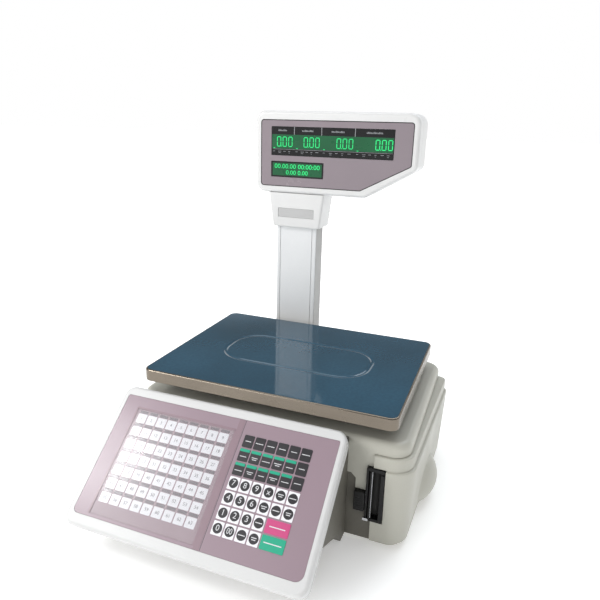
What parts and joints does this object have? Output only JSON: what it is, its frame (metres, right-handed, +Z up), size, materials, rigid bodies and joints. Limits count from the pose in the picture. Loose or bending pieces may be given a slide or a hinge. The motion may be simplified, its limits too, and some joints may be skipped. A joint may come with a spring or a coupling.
{
  "type": "label printing scale",
  "caption": "Counter scale with weighing pan, sloping keyboard console, side label printer behind a hinged door and a display head on a rear pole.",
  "frame": {"origin": "middle of the footprint of the whole object, on the table", "axes": "+X to the operator's right, +Y from the keyboard towards the pole, +Z up"},
  "size_m": [0.404, 0.4906, 0.527],
  "materials": {
    "ivory_plastic": "fine moulded texture",
    "white_plastic": "satin moulded",
    "grey_plastic": "matt moulded",
    "black_plastic": "gloss moulded",
    "black_rubber": "matt",
    "stainless": "brushed, under a blue film",
    "steel": "bright",
    "zinc_plate": "zinc plated sheet",
    "cast_alloy": "as cast",
    "cell_alloy": "machined",
    "pole_alloy": "white powder coat",
    "plate_alloy": "brushed",
    "overlay_film": "mauve film, satin",
    "window_film": "mauve printed window, gloss",
    "key_film": "embossed film",
    "paper": "plain",
    "clear_film": "clear flexible cover",
    "lcd": "dark green display module",
    "circuit_board": "solder mask",
    "gear_plastic": "acetal",
    "motor_metal": "plated can",
    "belt_rubber": "toothed belt",
    "spring_steel": "bright wire",
    "lever_plastic": "blue moulded",
    "level_glass": "tinted vial",
    "switch_red": "gloss moulded"
  },
  "bodies": {
    "base": {"base_tray": "ivory_plastic", "base_cover": "ivory_plastic", "front_skirt": "grey_plastic", "bubble_level": "level_glass", "housing_screws": "steel", "hinge_brackets": "ivory_plastic", "print_faceplate": "black_plastic", "printer_chassis": "zinc_plate", "print_motor": "motor_metal", "takeup_belt": "belt_rubber", "head_spring": "spring_steel", "guide_post": "steel", "roll_spindle": "gear_plastic", "label_web": "paper", "pan_spider": "cast_alloy", "pan_pads": "black_rubber", "load_cell": "cell_alloy", "cell_pedestal": "cast_alloy", "cell_bolts": "steel", "console_top": "white_plastic", "console_bottom": "white_plastic", "console_overlay": "overlay_film", "plu_sheet": "paper", "plu_cover": "clear_film", "keypad_keys": "key_film", "console_board": "circuit_board", "console_support": "grey_plastic", "pole": "pole_alloy", "pole_socket": "ivory_plastic", "neck": "white_plastic", "neck_plate": "plate_alloy", "display_front": "white_plastic", "display_rear": "white_plastic", "display_window": "window_film", "customer_window": "window_film", "display_lcds": "lcd", "display_board": "circuit_board", "mainboard": "circuit_board", "power_supply": "motor_metal", "power_inlet": "black_plastic", "port_block": "motor_metal"},
    "door": {"printer_door": "ivory_plastic", "hinge_pins": "steel"},
    "latch": {"door_latch": "black_plastic"},
    "platen": {"platen_roller": "black_rubber", "platen_shaft": "steel", "platen_gear": "gear_plastic"},
    "idler": {"idler_gear": "gear_plastic"},
    "motor_rotor": {"motor_pinion": "steel"},
    "spool": {"takeup_spool": "grey_plastic"},
    "roll": {"label_roll": "paper"},
    "print_head": {"head_bracket": "zinc_plate", "thermal_head": "cell_alloy"},
    "lever": {"release_lever": "lever_plastic"},
    "weigh_pan": {"pan": "stainless"},
    "rocker": {"power_switch": "switch_red"},
    "foot_fl": {"foot_front_left": "black_rubber"},
    "foot_fr": {"foot_front_right": "black_rubber"},
    "foot_rl": {"foot_rear_left": "black_rubber"},
    "foot_rr": {"foot_rear_right": "black_rubber"}
  },
  "joints": [
    {"name": "door_hinge", "type": "hinge", "parent": "base", "child": "door", "pos_m": [0.184, 0.17781, 0.07], "axis": [0, 0, 1], "range_deg": [0, 100]},
    {"name": "latch_push", "type": "slide", "parent": "base", "child": "latch", "axis": [0, 1, 0], "range_m": [0, 0.004], "stiffness_N_per_m": 400},
    {"name": "platen_spin", "type": "hinge", "parent": "base", "child": "platen", "pos_m": [0.142, -0.07519, 0.07], "axis": [0, 0, 1], "continuous": true},
    {"name": "idler_spin", "type": "hinge", "parent": "base", "child": "idler", "pos_m": [0.12599, -0.0547, 0.03], "axis": [0, 0, 1], "continuous": true},
    {"name": "motor_spin", "type": "hinge", "parent": "base", "child": "motor_rotor", "pos_m": [0.09899, -0.0547, 0.03], "axis": [0, 0, 1], "continuous": true},
    {"name": "spool_spin", "type": "hinge", "parent": "base", "child": "spool", "pos_m": [0.095, -0.00719, 0.07], "axis": [0, 0, 1], "continuous": true},
    {"name": "roll_spin", "type": "hinge", "parent": "base", "child": "roll", "pos_m": [0.127, 0.05881, 0.07], "axis": [0, 0, 1], "continuous": true},
    {"name": "head_open", "type": "hinge", "parent": "base", "child": "print_head", "pos_m": [0.123, -0.03319, 0.07], "axis": [0, 0, -1], "range_deg": [0, 8]},
    {"name": "lever_turn", "type": "hinge", "parent": "base", "child": "lever", "pos_m": [0.102, -0.02519, 0.126], "axis": [0, 0, 1], "range_deg": [0, 72]},
    {"name": "pan_lift", "type": "slide", "parent": "base", "child": "weigh_pan", "axis": [0, 0, 1], "range_m": [0, 0.08]},
    {"name": "switch_rock", "type": "hinge", "parent": "base", "child": "rocker", "pos_m": [-0.135, 0.18281, 0.061], "axis": [1, 0, 0], "range_deg": [0, 14]},
    {"name": "foot_fl_screw", "type": "slide", "parent": "base", "child": "foot_fl", "axis": [0, 0, -1], "range_m": [0, 0.005]},
    {"name": "foot_fr_screw", "type": "slide", "parent": "base", "child": "foot_fr", "axis": [0, 0, -1], "range_m": [0, 0.005]},
    {"name": "foot_rl_screw", "type": "slide", "parent": "base", "child": "foot_rl", "axis": [0, 0, -1], "range_m": [0, 0.005]},
    {"name": "foot_rr_screw", "type": "slide", "parent": "base", "child": "foot_rr", "axis": [0, 0, -1], "range_m": [0, 0.005]}
  ],
  "couplings": [
    {"joint": "idler_spin", "follows": "platen_spin", "ratio": -0.3},
    {"joint": "motor_spin", "follows": "platen_spin", "ratio": 0.85714},
    {"joint": "spool_spin", "follows": "platen_spin", "ratio": 0.85714},
    {"joint": "roll_spin", "follows": "platen_spin", "ratio": -0.17391},
    {"joint": "head_open", "follows": "lever_turn", "ratio": 0.11111}
  ]
}
